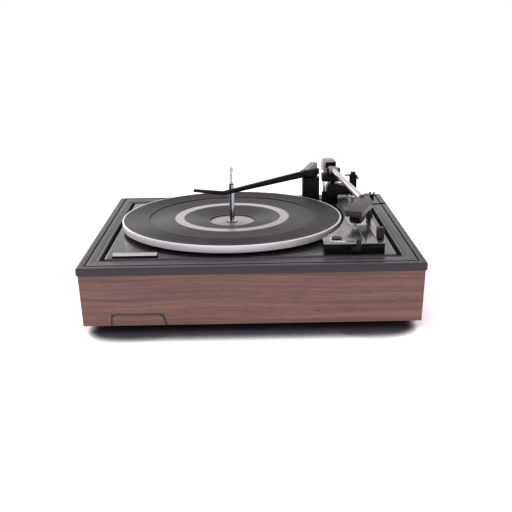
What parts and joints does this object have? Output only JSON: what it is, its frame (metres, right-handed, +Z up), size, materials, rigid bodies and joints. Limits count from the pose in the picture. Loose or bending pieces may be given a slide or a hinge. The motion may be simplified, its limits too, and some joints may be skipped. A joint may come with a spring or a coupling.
{
  "type": "record changer",
  "caption": "Automatic record changer on a wooden plinth: sprung deck, driven platter with mat, tall spindle, swinging overarm, pivoted tonearm and control panel.",
  "frame": {"origin": "centre of the plinth's footprint, on the surface that the four feet stand on", "axes": "+Z up, +X to the listener's right, along the front board, +Y to the back"},
  "size_m": [0.3856, 0.3414, 0.1526],
  "materials": {
    "walnut": "walnut veneer, satin",
    "hardboard": "plain brown hardboard",
    "chipboard": "raw chipboard",
    "frame_plastic": "dark grey moulded plastic with a fine grain",
    "black_plastic": "black moulded plastic",
    "black_paint": "black enamel on pressed steel",
    "mat_rubber": "dark grey ribbed rubber",
    "foot_rubber": "black rubber",
    "platter_metal": "turned and polished aluminium",
    "panel_metal": "brushed aluminium",
    "bright_steel": "bright plated steel",
    "grey_plastic": "light grey moulded plastic",
    "grey_metal": "light grey paint on a die casting",
    "shell_plastic": "dark grey textured plastic",
    "zinc": "dull zinc plate",
    "copper": "varnished copper winding"
  },
  "bodies": {
    "chassis": {"plinth_front_board": "walnut", "plinth_back_board": "walnut", "plinth_left_board": "walnut", "plinth_right_board": "walnut", "base_board": "hardboard", "mounting_board": "chipboard", "cord_grommet": "foot_rubber", "foot_front_left": "foot_rubber", "foot_front_right": "foot_rubber", "foot_back_left": "foot_rubber", "foot_back_right": "foot_rubber", "top_frame": "frame_plastic", "deck_plate": "black_paint", "spring_front_left": "bright_steel", "spring_front_right": "bright_steel", "spring_back_left": "bright_steel", "spring_back_right": "bright_steel", "bearing_bridge": "bright_steel", "spindle_bearing": "zinc", "spindle": "bright_steel", "badge_backing": "black_plastic", "badge_plate": "panel_metal", "control_body": "black_plastic", "control_plate": "panel_metal", "overarm_post": "black_plastic", "pivot_pedestal": "black_plastic", "arm_rest_post": "black_plastic", "clip_post": "black_plastic", "cue_bracket": "black_plastic", "motor_core": "zinc", "motor_coil": "copper"},
    "platter": {"platter": "platter_metal", "platter_mat": "mat_rubber", "mat_ring": "platter_metal", "centre_trim": "platter_metal", "hub_pinion": "zinc"},
    "idler": {"idler_tyre": "foot_rubber", "idler_wheel": "zinc"},
    "idler_arm": {"idler_arm": "bright_steel"},
    "motor_rotor": {"motor_rotor": "bright_steel"},
    "cycle_cam": {"cycle_cam": "zinc"},
    "arm_carriage": {"arm_carriage": "black_plastic"},
    "tonearm": {"tonearm_tube": "bright_steel", "arm_saddle": "grey_plastic", "headshell": "shell_plastic", "cartridge": "black_plastic", "stylus": "grey_plastic", "finger_lift": "black_plastic"},
    "counterweight": {"counterweight": "grey_metal"},
    "overarm_lifter": {"overarm_shaft": "black_plastic"},
    "overarm": {"overarm": "black_plastic", "overarm_cap": "grey_plastic"},
    "spindle_pusher": {"spindle_pusher": "black_plastic"},
    "size_lever": {"size_lever": "black_plastic"},
    "function_knob": {"function_knob": "black_plastic"},
    "speed_knob": {"speed_knob": "black_plastic"},
    "cue_lever": {"cue_lever": "bright_steel"},
    "cue_pin": {"cue_pin": "bright_steel"},
    "rest_clip": {"rest_clip": "grey_plastic"},
    "anti_skate_dial": {"anti_skate_dial": "panel_metal"}
  },
  "joints": [
    {"name": "platter_spin", "type": "hinge", "parent": "chassis", "child": "platter", "pos_m": [-0.024, 0.0044, 0.085], "axis": [0, 0, 1], "continuous": true},
    {"name": "idler_swing", "type": "hinge", "parent": "chassis", "child": "idler_arm", "pos_m": [-0.053, -0.07791, 0.0718], "axis": [0, 0, -1], "range_deg": [0, 4]},
    {"name": "idler_spin", "type": "hinge", "parent": "idler_arm", "child": "idler", "pos_m": [-0.09766, -0.08339, 0.083], "axis": [0, 0, 1], "continuous": true},
    {"name": "motor_spin", "type": "hinge", "parent": "chassis", "child": "motor_rotor", "pos_m": [-0.07408, -0.09197, 0.052], "axis": [0, 0, 1], "continuous": true},
    {"name": "cam_turn", "type": "hinge", "parent": "chassis", "child": "cycle_cam", "pos_m": [0.00644, -0.04833, 0.07], "axis": [0, 0, 1], "continuous": true},
    {"name": "tonearm_swing", "type": "hinge", "parent": "chassis", "child": "arm_carriage", "pos_m": [0.117, 0.122, 0.107], "axis": [0, 0, -1], "range_deg": [0, 36]},
    {"name": "tonearm_lift", "type": "hinge", "parent": "arm_carriage", "child": "tonearm", "pos_m": [0.117, 0.122, 0.123], "axis": [-0.9866, -0.1633, 0], "range_deg": [0, 8]},
    {"name": "counterweight_slide", "type": "slide", "parent": "tonearm", "child": "counterweight", "axis": [-0.163, 0.9844, 0.0663], "range_m": [0, 0.006]},
    {"name": "overarm_raise", "type": "slide", "parent": "chassis", "child": "overarm_lifter", "axis": [0, 0, 1], "range_m": [0, 0.025]},
    {"name": "overarm_swing", "type": "hinge", "parent": "overarm_lifter", "child": "overarm", "pos_m": [0.085, 0.116, 0.1265], "axis": [0, 0, 1], "range_deg": [0, 75]},
    {"name": "pusher_slide", "type": "slide", "parent": "chassis", "child": "spindle_pusher", "axis": [-1, 0, 0], "range_m": [0, 0.0015]},
    {"name": "size_lever_swing", "type": "hinge", "parent": "chassis", "child": "size_lever", "pos_m": [0.1155, -0.1322, 0.0823], "axis": [0, 1, 0], "range_deg": [-12, 12]},
    {"name": "function_slide", "type": "slide", "parent": "chassis", "child": "function_knob", "axis": [0, 1, 0], "range_m": [0, 0.016]},
    {"name": "speed_knob_turn", "type": "hinge", "parent": "chassis", "child": "speed_knob", "pos_m": [0.0985, -0.1093, 0.089], "axis": [0, 0, 1], "range_deg": [-35, 35]},
    {"name": "cue_lever_tilt", "type": "hinge", "parent": "chassis", "child": "cue_lever", "pos_m": [0.1503, 0.117, 0.114], "axis": [-1, 0, 0], "range_deg": [0, 42]},
    {"name": "cue_pin_rise", "type": "slide", "parent": "chassis", "child": "cue_pin", "axis": [0, 0, 1], "range_m": [0, 0.001]},
    {"name": "rest_clip_turn", "type": "hinge", "parent": "chassis", "child": "rest_clip", "pos_m": [0.1589, 0.0436, 0.106], "axis": [0, 1, 0], "range_deg": [0, 70]},
    {"name": "anti_skate_turn", "type": "hinge", "parent": "chassis", "child": "anti_skate_dial", "pos_m": [0.1425, 0.1, 0.089], "axis": [0, 0, 1], "range_deg": [-150, 150]}
  ],
  "couplings": [
    {"joint": "idler_spin", "follows": "platter_spin", "ratio": 6.2273},
    {"joint": "motor_spin", "follows": "platter_spin", "ratio": -50.741},
    {"joint": "overarm_raise", "follows": "overarm_swing", "m_per_rad": 0.019},
    {"joint": "cue_lever_tilt", "follows": "cue_pin_rise", "rad_per_m": 698.13}
  ]
}
